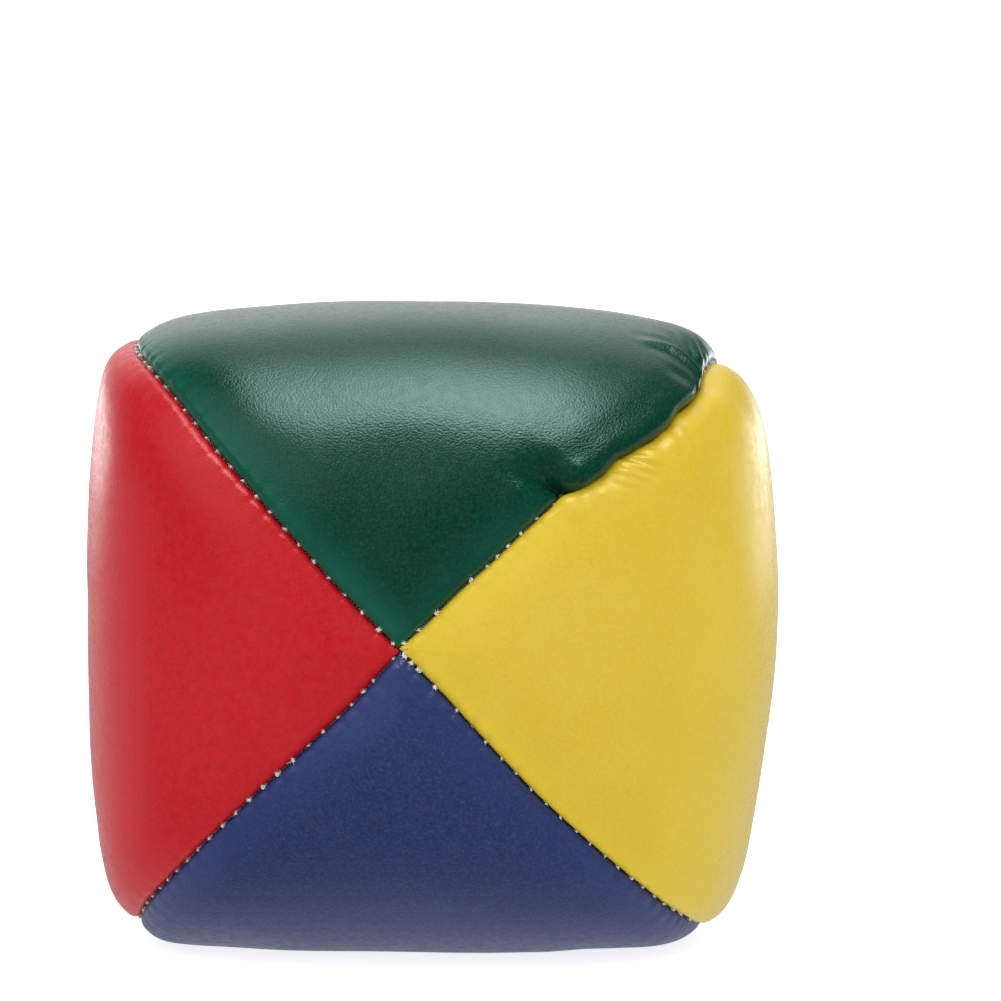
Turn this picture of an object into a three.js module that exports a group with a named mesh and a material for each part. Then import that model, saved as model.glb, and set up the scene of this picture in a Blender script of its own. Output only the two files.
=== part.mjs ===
// Four-panel sewn juggling ball (a "cubic" bean bag), millimetres, +Z up.
// Origin is set at the end: bottom centre of the bounding box, ball resting on its blue panel.
//
// The skin is four equal leatherette gores. Each gore covers one triangle of the front face,
// one whole side and one triangle of the back face, so the four seams run from the front pole
// over a corner, along an edge and over the next corner to the back pole.
import * as THREE from 'three';

// ---------- driving dimensions ----------
const HALF_R = 31.46;        // half width, right side of the filled bag (before the slump below)
const HALF_L = 32.42;        // half width, left side
const HALF_T = 30.37;        // half height, upper side
const HALF_B = 30.10;         // half height, lower side
const HALF_D = 29.26;          // half depth, pole to centre
const SQUARE_CROSS = 7.026;   // superellipse exponent of the cross-section
const SQUARE_DEPTH = 2.525;   // superellipse exponent pole to pole
const SLUMP = [0.589, -0.09, 0.42, -0.188, -1.351, -0.145, 0.395, -0.206,
  -0.249, 0.25, -1.206, -1.536, 0.385, -0.54, -0.066, -0.026];  // uneven filling, mm at SLUMP_AT out
const SLUMP_AT = 31.35;
const LEVEL_TILT = 0.632, LEVEL_TWIST = 0.250, LEVEL_PITCH = 0.487;  // the floor levels the underside:
const LEVEL_FROM = -0.5, LEVEL_FULL = -0.92;   // these slopes fade out between the two heights (in SLUMP_AT)
const LUMPS = [[3, 0.380, -0.163], [4, 0.389, 0.005], [5, 0.270, 0.177], [6, 0.132, -0.020]];
// ^ order, cosine and sine amplitude (mm) of the bulges round the ball, over its front half
const LUMP_FADE = [18, 30];   // they fade out from 12 mm in front of the middle to 18 mm behind it
const REST_FLAT = 0.85;       // how far the underside is pressed flat where it rests

const LEATHER = 0.9;          // leatherette thickness
const FOLD_R = 1.05;          // outer radius of the turned edge at a seam
const SEAM_HALF_GAP = 0.15;   // half of the slit between two turned edges
const ALLOWANCE = 3.2;        // seam allowance folded back under the panel
const VALLEY = 0.35;          // the panels sink this much towards a seam
const VALLEY_W = 3.5;         // width of that valley
const TIP = 0.42;             // perpendicular half width where a gore tip is cut off

const STITCH = 1.9;           // stitch length
const THREAD_R = 0.24;        // seam thread radius at the crown of a stitch
const THREAD_NIP = 0.15;      // and where it dips into the slit
const THREAD_UP = 0.83;       // thread centre above the fold centres
const THREAD_START = 1.15;    // clear distance from a pole to the first stitch
const CLOSE_FROM = 0.185;     // hand-closed part of the green/yellow seam, as a fraction pole to pole
const CLOSE_TO = 0.335;
const CLOSE_PITCH = 2.9;      // hand stitch length
const RUN_GAP = 0.006;        // gap between two thread runs, same fraction

const FILL_GAP = 0.3;         // clearance between filling and a turned-under edge
const FILL_GAP_MID = 0.6;     // and between filling and the bare skin

const PANELS = [
  ['yellow_panel', 0xd9bd36, 0],
  ['green_panel', 0x0f4a38, 1],
  ['red_panel', 0xb8272d, 2],
  ['blue_panel', 0x26356a, 3],
];

// ---------- the filled shape ----------
const Q4 = Math.PI / 4, SQ2 = Math.SQRT2;
const bisect = (f, lo, hi) => {           // f rises through zero between lo and hi
  for (let i = 0; i < 40; i++) { const m = (lo + hi) / 2; if (f(m) < 0) lo = m; else hi = m; }
  return (lo + hi) / 2;
};
const add = (a, b, k = 1) => [a[0] + b[0] * k, a[1] + b[1] * k, a[2] + b[2] * k];
const mid = (a, b) => [(a[0] + b[0]) / 2, (a[1] + b[1]) / 2, (a[2] + b[2]) / 2];
const len = (a) => Math.hypot(a[0], a[1], a[2]);
const unit = (a) => { const l = len(a); return [a[0] / l, a[1] / l, a[2] / l]; };
const cross = (a, b) => [a[1] * b[2] - a[2] * b[1], a[2] * b[0] - a[0] * b[2], a[0] * b[1] - a[1] * b[0]];
const dot = (a, b) => a[0] * b[0] + a[1] * b[1] + a[2] * b[2];

// panel k, s = 0..1 pole to pole, t = -1..1 across -> direction from the centre
function direction(k, s, t) {
  let rho = 1, v = (s - 0.5) * 6;
  if (s < 1 / 3) { rho = 3 * s; v = -1; } else if (s > 2 / 3) { rho = 3 * (1 - s); v = 1; }
  const w = Math.tan(rho * Q4), u = w * Math.tan(t * Q4), y = Math.tan(v * Q4);
  const l = Math.hypot(u, y, w), c = Math.round(Math.cos(k * 2 * Q4)), n = Math.round(Math.sin(k * 2 * Q4));
  return [(w * c - u * n) / l, y / l, (w * n + u * c) / l];
}
// point and outward normal on the even shape, before the slump
function envelope(d) {
  const a = d[0] > 0 ? HALF_R : HALF_L, c = d[2] > 0 ? HALF_T : HALF_B, b = HALF_D;
  const p = SQUARE_CROSS, q = SQUARE_DEPTH;
  const gx = Math.abs(d[0] / a), gz = Math.abs(d[2] / c), gy = Math.abs(d[1] / b);
  const ring = gx ** p + gz ** p + 1e-14, F = ring ** (q / p) + gy ** q;
  const r = F ** (-1 / q);
  const sg = Math.sign;
  const k1 = ring ** (q / p - 1);
  const n = unit([k1 * gx ** (p - 1) * sg(d[0]) / a, gy ** (q - 1) * sg(d[1]) / b, k1 * gz ** (p - 1) * sg(d[2]) / c]);
  return { e: [d[0] * r, d[1] * r, d[2] * r], n };
}
// perpendicular distance of an even-shape point of panel k to its nearer seam plane
function seamDist(k, e) {
  const c = Math.round(Math.cos(k * 2 * Q4)), n = Math.round(Math.sin(k * 2 * Q4));
  const W = e[0] * c + e[2] * n, U = -e[0] * n + e[2] * c;
  return (W - Math.abs(U)) / SQ2;
}
function layer(k, s, t, h) {               // h = depth under the outer face
  const { e, n } = envelope(direction(k, s, t));
  const g = seamDist(k, e);
  const dip = VALLEY * Math.exp(-((g / VALLEY_W) ** 2));
  return { p: add(e, n, -h - dip), n, g };
}
function slump([X, Y, Z]) {
  const u = X / SLUMP_AT, v = Y / SLUMP_AT, h = Z / SLUMP_AT, w = SLUMP;
  const dx = w[0] * h + w[1] * h * h + w[2] * u * h + w[3] * v * h + w[4] * u * h * h + w[5] * h ** 3 + w[12] * v * u + w[14] * v;
  const dz = w[6] * u + w[7] * u * u + w[8] * u * h + w[9] * v * u + w[10] * h * u * u + w[11] * u ** 3 + w[13] * v * h + w[15] * v;
  let k = Math.max(0, Math.min(1, (LEVEL_FROM - h) / (LEVEL_FROM - LEVEL_FULL)));
  k = k * k * (3 - 2 * k);
  const x = X + dx, z = Z + dz - k * (LEVEL_TILT * u + LEVEL_TWIST * u * v + LEVEL_PITCH * v);
  const a = Math.atan2(z, x), fade = Math.max(0, Math.min(1, (LUMP_FADE[0] - Y) / LUMP_FADE[1]));
  let g = 0;
  for (const [m, c, n] of LUMPS) g += c * Math.cos(m * a) + n * Math.sin(m * a);
  g *= fade * fade * (3 - 2 * fade) * Math.min(1, Math.hypot(x, z) / 20) / 31;
  return [x * (1 + g), Y, z * (1 + g)];
}

// outer box of the skin, for the resting plane and the origin
const box = { lo: [1e9, 1e9, 1e9], hi: [-1e9, -1e9, -1e9] };
for (let k = 0; k < 4; k++) for (let i = 0; i <= 120; i++) for (let j = -24; j <= 24; j++) {
  const q = slump(layer(k, i / 120, j / 24, 0).p);
  for (let a = 0; a < 3; a++) { box.lo[a] = Math.min(box.lo[a], q[a]); box.hi[a] = Math.max(box.hi[a], q[a]); }
}
const FLOOR = box.lo[2] + REST_FLAT;
const OX = (box.lo[0] + box.hi[0]) / 2, OY = (box.lo[1] + box.hi[1]) / 2;
// even-shape point at depth h -> finished coordinates
function place(p, h = 0) {
  const q = slump(p);
  return [q[0] - OX, q[1] - OY, Math.max(q[2], FLOOR + h) - FLOOR];
}

// ---------- mesh helpers ----------
function body(name, colour, roughness, pos, idx) {
  const g = new THREE.BufferGeometry();
  g.setAttribute('position', new THREE.Float32BufferAttribute(pos.flat(), 3));
  g.setIndex(idx);
  let vol = 0;
  for (let i = 0; i < idx.length; i += 3) {
    const [a, b, c] = [pos[idx[i]], pos[idx[i + 1]], pos[idx[i + 2]]];
    vol += dot(a, cross(b, c)) / 6;
  }
  if (vol < 0) for (let i = 0; i < idx.length; i += 3) [idx[i + 1], idx[i + 2]] = [idx[i + 2], idx[i + 1]];
  g.setIndex(idx);
  g.computeVertexNormals();
  const m = new THREE.Mesh(g, new THREE.MeshStandardMaterial({ color: colour, roughness, metalness: 0 }));
  m.name = name;
  return m;
}
// closed loft through equal rings; the ends are closed by pairing point i with point n-1-i
function loftRings(rings, caps) {
  const pos = [], idx = [], n = rings[0].length;
  rings.forEach((r) => pos.push(...r));
  for (let i = 0; i + 1 < rings.length; i++) for (let j = 0; j < n; j++) {
    const a = i * n + j, b = i * n + (j + 1) % n, c = a + n, d = b + n;
    idx.push(a, c, b, b, c, d);
  }
  for (const [row, flip] of [[0, false], [rings.length - 1, true]]) {
    for (const [a, b, c] of caps) {
      const o = row * n;
      if (flip) idx.push(o + a, o + c, o + b); else idx.push(o + a, o + b, o + c);
    }
  }
  return { pos, idx };
}

// ---------- rows of a gore ----------
const reach = (k, s) => layer(k, s, 0, 0).g;                 // centre line to seam plane
const TIP_STEPS = [TIP, 0.8, 1.35, 2.2, 3.4, 5.0, 7.0, 9.4];
const rowsFor = (k) => {
  const near = TIP_STEPS.map((g) => bisect((s) => reach(k, s) - g, 0, 0.3));
  const last = near[near.length - 1], rows = [...near];
  const MIDROWS = 18;
  for (let i = 1; i < MIDROWS; i++) rows.push(last + (1 - 2 * last) * i / MIDROWS);
  for (let i = near.length - 1; i >= 0; i--) rows.push(1 - near[i]);
  return rows;
};
// fold data of one seam side: side = +1 or -1 across
function fold(k, s, side) {
  const A = reach(k, s);
  const R = Math.min(FOLD_R, A - SEAM_HALF_GAP - 0.03);
  const inner = Math.max(0.08, Math.min(FOLD_R - LEATHER, R - 0.12));
  const t1 = bisect((t) => SEAM_HALF_GAP + R - layer(k, s, side * t, R).g + 0, 0, 0.9999999);
  // layer().g is measured on the outer face; the fold centre sits R deeper, so measure there
  const distAt = (t) => { const q = layer(k, s, side * t, R); return seamDist(k, q.p); };
  const tc = distAt(0) <= SEAM_HALF_GAP + R ? 0 : bisect((t) => SEAM_HALF_GAP + R - distAt(t), 0, 0.9999999);
  const q = layer(k, s, side * tc, R);
  const ds = 1e-4;
  const T = unit(add(layer(k, Math.min(s + ds, 1), side * tc, R).p, layer(k, Math.max(s - ds, 0), side * tc, R).p, -1));
  let b = unit(cross(q.n, T));
  // towards the seam = away from the panel centre line
  const c = layer(k, s, 0, R).p, ang = k * 2 * Q4 + side * Q4;
  const toSeam = [-Math.sin(ang) * side, 0, Math.cos(ang) * side];   // across the seam plane
  if (dot(b, toSeam) < 0) b = b.map((x) => -x);
  return { A, R, inner, tc, C: q.p, n: q.n, b, up: q.n };
}
const sstep = (x) => { x = Math.max(0, Math.min(1, x)); return x * x * (3 - 2 * x); };

const SKIN_COLS = 8, ARC = 4;
function goreRing(k, s) {
  const L = fold(k, s, -1), Rr = fold(k, s, 1);
  const A = L.A;
  const open = sstep((A - 1.5) / 1.4);                  // 0 at the tips: plain capped edge, 1: fully turned under
  const endAngle = (0.5 + 0.5 * open) * Math.PI;
  const thick = Math.min(LEATHER, L.R - L.inner);
  const half = (f, side) => {
    const R = f.R, ri = R - thick;
    // allowance end: perpendicular distance from the seam plane
    const endDist = Math.min(SEAM_HALF_GAP + FOLD_R + ALLOWANCE, f.A - 0.35 - 0.25 * (1 - open));
    const dIn = (t) => seamDist(k, layer(k, s, side * t, 2 * R).p);
    let te = f.tc;
    if (open > 0.999 && dIn(0) > endDist && endDist > dIn(f.tc)) te = bisect((t) => endDist - dIn(t), 0, f.tc);
    else if (open > 0.999) te = f.tc * 0.5;
    const outer = [], inner = [];
    for (let i = 1; i <= ARC; i++) {                    // outer arc, top excluded
      const th = endAngle * i / ARC;
      outer.push(place(add(add(f.C, f.n, R * Math.cos(th)), f.b, R * Math.sin(th)), R - R * Math.cos(th)));
    }
    for (let i = 0; i <= 2; i++) {                      // inner arc from end back to top
      const th = endAngle * (1 - i / 2);
      inner.push(place(add(add(f.C, f.n, ri * Math.cos(th)), f.b, ri * Math.sin(th)), R - ri * Math.cos(th)));
    }
    const allowOut = [], allowIn = [];
    for (const fr of [0.5, 1]) {
      const t = f.tc + (te - f.tc) * fr;
      if (open > 0.999) {
        allowOut.push(place(layer(k, s, side * t, 2 * R).p, 2 * R));
        allowIn.push(place(layer(k, s, side * t, 2 * R - thick).p, 2 * R - thick));
      } else {                                          // short turned edge near a tip
        const L0 = 0.16 * fr + 0.5 * open * fr;
        const th = endAngle, dir = add(f.b.map((x) => x * Math.cos(th)), f.n, -Math.sin(th));
        const base = add(add(f.C, f.n, R * Math.cos(th)), f.b, R * Math.sin(th));
        const basi = add(add(f.C, f.n, ri * Math.cos(th)), f.b, ri * Math.sin(th));
        allowOut.push(place(add(base, dir, L0 * Math.min(1, f.A / 1.35)), 2 * R));
        allowIn.push(place(add(basi, dir, L0 * Math.min(1, f.A / 1.35)), 2 * R - thick));
      }
    }
    return { outer, inner, allowOut, allowIn, top: f.tc, ri, R };
  };
  const l = half(L, -1), r = half(Rr, 1);
  const ring = [];
  // outer face, left fold start -> right fold start
  for (let j = 0; j <= SKIN_COLS; j++) {
    const x = j / SKIN_COLS, t = -l.top + (l.top + r.top) * x;
    ring.push(place(layer(k, s, t, 0).p, 0));
  }
  ring.push(...r.outer, ...r.allowOut);
  ring.push(...[...r.allowIn].reverse(), ...r.inner);
  for (let j = SKIN_COLS - 1; j > 0; j--) {
    const x = j / SKIN_COLS, t = -l.top + (l.top + r.top) * x;
    ring.push(place(layer(k, s, t, thick).p, thick));
  }
  ring.push(...[...l.inner].reverse(), ...l.allowIn);
  ring.push(...[...l.allowOut].reverse(), ...[...l.outer].reverse());
  return ring;
}
// end caps of the C-shaped ring: strip between outer and inner boundary
function goreCaps() {
  const outerIdx = [], innerIdx = [], caps = [];
  // ring layout: skin (C+1), right outer (ARC), right allowance out (2), right allowance in (2),
  // right inner arc (3), inner skin (C-1), left inner arc (3), left allowance in (2), left allowance out (2), left outer (ARC)
  const C = SKIN_COLS, n = C + 1 + ARC + 2 + 2 + 3 + (C - 1) + 3 + 2 + 2 + ARC;
  // outer boundary: left allowance end -> left arc -> skin -> right arc -> right allowance end
  for (let i = ARC + 2; i > 0; i--) outerIdx.push(n - i);          // left allow out end .. left arc start
  for (let i = 0; i <= C; i++) outerIdx.push(i);
  for (let i = 1; i <= ARC + 2; i++) outerIdx.push(C + i);
  // inner boundary, same direction
  const ri0 = C + 1 + ARC + 2;                                      // right allowance in, end first
  const right = [0, 1, 2, 3, 4].map((i) => ri0 + i);                // end, half, arc end, arc mid, arc top
  const skin = Array.from({ length: C - 1 }, (_, i) => ri0 + 5 + i);
  const left = [0, 1, 2, 3, 4].map((i) => ri0 + 5 + (C - 1) + i);   // arc top, arc mid, arc end, half, end
  innerIdx.push(...[...left].reverse(), ...[...skin].reverse(), ...[...right].reverse());
  // match counts by walking both boundaries
  const mapO = outerIdx, mapI = innerIdx;
  let i = 0, j = 0;
  const fo = (x) => x / (mapO.length - 1), fi = (x) => x / (mapI.length - 1);
  while (i < mapO.length - 1 || j < mapI.length - 1) {
    if (j === mapI.length - 1 || (i < mapO.length - 1 && fo(i + 1) <= fi(j + 1))) { caps.push([mapO[i], mapO[i + 1], mapI[j]]); i++; }
    else { caps.push([mapO[i], mapI[j + 1], mapI[j]]); j++; }
  }
  return { caps, n };
}

const group = new THREE.Group();
group.name = 'juggling_ball';
const CAPS = goreCaps();
for (const [name, colour, k] of PANELS) {
  const rings = rowsFor(k).map((s) => goreRing(k, s));
  if (rings[0].length !== CAPS.n) throw new Error('ring size ' + rings[0].length + ' vs ' + CAPS.n);
  const { pos, idx } = loftRings(rings, CAPS.caps);
  group.add(body(name, colour, 0.42, pos, idx));
}

// ---------- seam threads, lying in the V between two turned edges ----------
// seam k lies between panel k and panel k+1
function seamFrame(k, s) {
  const a = fold(k, s, 1), b = fold((k + 1) % 4, s, -1);
  return { c: mid(a.C, b.C), up: unit(add(a.n, b.n)), R: (a.R + b.R) / 2 };
}
function strand(name, colour, k, s0, s1, pitch, rCrown, rNip) {
  // sample the path by length
  const N = 400, pts = [];
  for (let i = 0; i <= N; i++) {
    const s = s0 + (s1 - s0) * i / N, f = seamFrame(k, s);
    pts.push({ s, p: add(f.c, f.up, THREAD_UP + (FOLD_R - f.R) * 0.9), up: f.up });
  }
  const acc = [0];
  for (let i = 1; i <= N; i++) acc.push(acc[i - 1] + len(add(pts[i].p, pts[i - 1].p, -1)));
  const total = acc[N], stitches = Math.max(2, Math.round(total / pitch)), M = stitches * 2;
  const at = (l) => {
    let i = 1; while (i < N && acc[i] < l) i++;
    const f = (l - acc[i - 1]) / (acc[i] - acc[i - 1]);
    return { p: add(pts[i - 1].p, add(pts[i].p, pts[i - 1].p, -1), f), up: unit(add(pts[i - 1].up, add(pts[i].up, pts[i - 1].up, -1), f)) };
  };
  const rings = [];
  for (let i = 0; i <= M; i++) {
    const l = total * i / M, q = at(l);
    const T = unit(add(at(Math.min(total, l + 0.2)).p, at(Math.max(0, l - 0.2)).p, -1));
    const side = unit(cross(T, q.up)), up = cross(side, T);
    const crown = i % 2 === 1, r = crown ? rCrown : rNip, c = add(q.p, up, crown ? 0 : -0.06);
    rings.push([[0, 1], [1, 0], [0, -1], [-1, 0]].map(([a, b]) => place(add(add(c, side, a * r), up, b * r * 0.95))));
  }
  const { pos, idx } = loftRings(rings, [[0, 1, 2], [0, 2, 3]]);
  return { mesh: body(name, colour, 0.8, pos, idx), total };
}
const startOf = (k) => bisect((s) => {
  const f = seamFrame(k, s); return Math.hypot(f.c[0], f.c[2]) - THREAD_START;
}, 0.002, 0.3);
const THREAD = 0xefece2;
const report = {};
const addStrand = (name, colour, k, s0, s1, pitch, a, b) => {
  const { mesh, total } = strand(name, colour, k, s0, s1, pitch, a, b);
  report[name] = total; group.add(mesh);
};
const S1 = startOf(1), S2 = startOf(2), S3 = startOf(3), S0 = startOf(0);
addStrand('red_green_thread', THREAD, 1, S1, 1 - S1, STITCH, THREAD_R, THREAD_NIP);
addStrand('red_blue_thread', THREAD, 2, S2, 1 - S2, STITCH, THREAD_R, THREAD_NIP);
addStrand('blue_yellow_thread', THREAD, 3, S3, 1 - S3, STITCH, THREAD_R, THREAD_NIP);
addStrand('green_yellow_thread_front', THREAD, 0, S0, CLOSE_FROM - RUN_GAP, STITCH, THREAD_R, THREAD_NIP);
addStrand('green_yellow_closing_thread', 0x2c5a49, 0, CLOSE_FROM, CLOSE_TO, CLOSE_PITCH, THREAD_R, THREAD_NIP);
addStrand('green_yellow_thread_back', THREAD, 0, CLOSE_TO + RUN_GAP, 1 - S0, STITCH, THREAD_R, THREAD_NIP);

// ---------- filling: the loose granules as one bulk body ----------
{
  const rowsS = [0.02, 0.05, 0.09, 0.14, 0.19, 0.24, 0.28, 0.32, 0.355, 0.4, 0.45, 0.5];
  const S = [...rowsS, ...rowsS.slice(0, -1).reverse().map((s) => 1 - s)];
  const pos = [], idx = [];
  const under = 2 * FOLD_R + FILL_GAP, bare = LEATHER + FILL_GAP_MID;
  const edge = SEAM_HALF_GAP + FOLD_R + ALLOWANCE;
  const colsOf = (k, s) => {
    // columns from t=-1 (shared with the previous panel) up to, not including, t=+1
    const g = (t) => layer(k, s, t, 0).g, full = g(0);
    const d1 = Math.min(edge + 1.3, full * 0.6), d2 = Math.min(edge + 3.3, full * 0.8);
    const t1 = bisect((t) => d1 - g(t), 0, 1), t2 = bisect((t) => d2 - g(t), 0, 1);
    const hMid = under + (bare - under) * sstep((full - 7.5) / 3);
    return [[-1, under], [-t1, under], [-t2, hMid], [-t2 / 2, hMid], [0, hMid], [t2 / 2, hMid], [t2, hMid], [t1, under]];
  };
  const NC = 8, n = NC * 4;
  S.forEach((s) => {
    for (let k = 0; k < 4; k++) for (const [t, h] of colsOf(k, s)) {
      const q = layer(k, s, t, h); pos.push(place(q.p, h));
    }
  });
  for (let i = 0; i + 1 < S.length; i++) for (let j = 0; j < n; j++) {
    const a = i * n + j, b = i * n + (j + 1) % n, c = a + n, d = b + n;
    idx.push(a, c, b, b, c, d);
  }
  const poleF = pos.length; pos.push(place(add(envelope([1e-6, -1, 1e-6]).e, [0, 1, 0], under + VALLEY), under));
  const poleB = pos.length; pos.push(place(add(envelope([1e-6, 1, 1e-6]).e, [0, -1, 0], under + VALLEY), under));
  for (let j = 0; j < n; j++) {
    idx.push(poleF, j, (j + 1) % n);
    const o = (S.length - 1) * n; idx.push(poleB, o + (j + 1) % n, o + j);
  }
  group.add(body('granule_fill', 0xc8a45a, 0.9, pos, idx));
}
console.error(JSON.stringify(report));

export default group;
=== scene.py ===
import math

import bpy
import numpy as np
from mathutils import Matrix, Vector
from mathutils.kdtree import KDTree


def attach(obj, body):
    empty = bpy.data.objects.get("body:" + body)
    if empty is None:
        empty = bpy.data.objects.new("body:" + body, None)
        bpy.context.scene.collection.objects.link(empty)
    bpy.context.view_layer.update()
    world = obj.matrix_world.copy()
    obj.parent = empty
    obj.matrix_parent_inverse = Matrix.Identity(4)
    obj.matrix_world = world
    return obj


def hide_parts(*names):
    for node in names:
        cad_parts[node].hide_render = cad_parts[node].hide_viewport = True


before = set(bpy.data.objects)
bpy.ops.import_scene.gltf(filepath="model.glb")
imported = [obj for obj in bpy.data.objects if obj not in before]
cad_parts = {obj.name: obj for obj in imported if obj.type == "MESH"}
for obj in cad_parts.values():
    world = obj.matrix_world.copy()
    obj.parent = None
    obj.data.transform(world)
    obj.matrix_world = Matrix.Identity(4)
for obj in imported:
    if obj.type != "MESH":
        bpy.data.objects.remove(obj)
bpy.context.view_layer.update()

R90 = math.pi / 2

# ------------------------------------------------------------------ the filled shape (same numbers as the CAD, mm)
HALF_R, HALF_L, HALF_T, HALF_B, HALF_D = 31.46, 32.42, 30.37, 30.10, 29.26
CROSS, DEPTH = 7.026, 2.525
SLUMP = [0.589, -0.09, 0.42, -0.188, -1.351, -0.145, 0.395, -0.206, -0.249, 0.25, -1.206, -1.536, 0.385, -0.54, -0.066, -0.026]
SLUMP_AT = 31.35
LEVEL = (0.632, 0.25, 0.487)
LEVEL_FROM, LEVEL_FULL = -0.5, -0.92
LUMPS = [(3, 0.380, -0.163), (4, 0.389, 0.005), (5, 0.270, 0.177), (6, 0.132, -0.020)]
REST_FLAT = 0.85
VALLEY, VALLEY_W = 0.35, 3.5
LEATHER = 0.9
STITCH = 1.9
Q4 = math.pi / 4
SQ2 = math.sqrt(2)


def sstep(x, a=0.0, b=1.0):
    x = np.clip((x - a) / (b - a), 0, 1)
    return x * x * (3 - 2 * x)


def direction(k, s, t):
    s, t = np.broadcast_arrays(np.asarray(s, float), np.asarray(t, float))
    rho = np.where(s < 1 / 3, 3 * s, np.where(s > 2 / 3, 3 * (1 - s), 1.0))
    v = np.where(s < 1 / 3, -1.0, np.where(s > 2 / 3, 1.0, (s - 0.5) * 6))
    w = np.tan(rho * Q4)
    u = w * np.tan(t * Q4)
    y = np.tan(v * Q4)
    l = np.sqrt(u * u + y * y + w * w)
    c, n = round(math.cos(k * R90)), round(math.sin(k * R90))
    return np.stack([(w * c - u * n) / l, y / l, (w * n + u * c) / l], -1)


def envelope(d):
    x, y, z = d[..., 0], d[..., 1], d[..., 2]
    a = np.where(x > 0, HALF_R, HALF_L)
    c = np.where(z > 0, HALF_T, HALF_B)
    gx, gz, gy = np.abs(x / a), np.abs(z / c), np.abs(y / HALF_D)
    ring = gx**CROSS + gz**CROSS + 1e-14
    r = (ring ** (DEPTH / CROSS) + gy**DEPTH) ** (-1 / DEPTH)
    k1 = ring ** (DEPTH / CROSS - 1)
    n = np.stack([
        k1 * gx ** (CROSS - 1) * np.sign(x) / a,
        gy ** (DEPTH - 1) * np.sign(y) / HALF_D,
        k1 * gz ** (CROSS - 1) * np.sign(z) / c], -1)
    n /= np.linalg.norm(n, axis=-1, keepdims=True)
    return d * r[..., None], n


def seam_dist(k, e):
    c, n = round(math.cos(k * R90)), round(math.sin(k * R90))
    W = e[..., 0] * c + e[..., 2] * n
    U = -e[..., 0] * n + e[..., 2] * c
    return (W - np.abs(U)) / SQ2


def layer(k, s, t, h=0.0):
    e, n = envelope(direction(k, s, t))
    g = seam_dist(k, e)
    dip = VALLEY * np.exp(-((g / VALLEY_W) ** 2))
    return e - n * (h + dip)[..., None], n, g


def slump(p):
    X, Y, Z = p[..., 0], p[..., 1], p[..., 2]
    u, v, h = X / SLUMP_AT, Y / SLUMP_AT, Z / SLUMP_AT
    w = SLUMP
    dx = w[0] * h + w[1] * h * h + w[2] * u * h + w[3] * v * h + w[4] * u * h * h + w[5] * h**3 + w[12] * v * u + w[14] * v
    dz = w[6] * u + w[7] * u * u + w[8] * u * h + w[9] * v * u + w[10] * h * u * u + w[11] * u**3 + w[13] * v * h + w[15] * v
    k = sstep((LEVEL_FROM - h) / (LEVEL_FROM - LEVEL_FULL))
    x = X + dx
    z = Z + dz - k * (LEVEL[0] * u + LEVEL[1] * u * v + LEVEL[2] * v)
    a = np.arctan2(z, x)
    g = sum(c * np.cos(m * a) + n * np.sin(m * a) for m, c, n in LUMPS)
    g = g * sstep((18 - Y) / 30) * np.minimum(1, np.hypot(x, z) / 20) / 31
    return np.stack([x * (1 + g), Y, z * (1 + g)], -1)


_lo, _hi = np.full(3, 1e9), np.full(3, -1e9)
for _k in range(4):
    _S, _T = np.meshgrid(np.arange(121) / 120, np.arange(-24, 25) / 24, indexing="ij")
    _q = slump(layer(_k, _S, _T)[0]).reshape(-1, 3)
    _lo, _hi = np.minimum(_lo, _q.min(0)), np.maximum(_hi, _q.max(0))
FLOOR = _lo[2] + REST_FLAT
SHIFT = np.array([-(_lo[0] + _hi[0]) / 2, -(_lo[1] + _hi[1]) / 2, -FLOOR])


def finish_points(p, h=0.0):
    """even shape -> the slumped ball standing on its flattened underside, mm in the row frame"""
    q = slump(p) + SHIFT
    z = q[..., 2]
    soft = 0.25                                   # the skin rounds off where it meets the floor
    d = (z - h) / soft
    zz = np.where(d > 3, z, np.where(d < -3, h, h + soft * (np.log1p(np.exp(np.clip(d * 1.6, -30, 30))) / 1.6)))
    q[..., 2] = np.where(d > 3, z, zz)
    return q



# ------------------------------------------------------------------ seams
RNG = np.random.default_rng(7)
GAP, ROLL = 0.045, 0.92               # half slit and radius of a turned edge as they look
PANELS = ["yellow", "green", "red", "blue"]
SEAM_NAMES = ["green_yellow", "red_green", "red_blue", "blue_yellow"]


def smooth_noise(n, cell, rng, amp=1.0):
    """n samples of smooth noise with a feature every cell samples"""
    m = int(n / cell) + 6
    v = rng.standard_normal(m)
    x = np.arange(n) / cell + 1.5
    i = np.floor(x).astype(int)
    f = x - i
    a, b, c, d = v[i - 1], v[i], v[i + 1], v[i + 2]
    return amp * 0.5 * (2 * b + (c - a) * f + (2 * a - 5 * b + 4 * c - d) * f**2 + (3 * b - a - 3 * c + d) * f**3)


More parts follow.
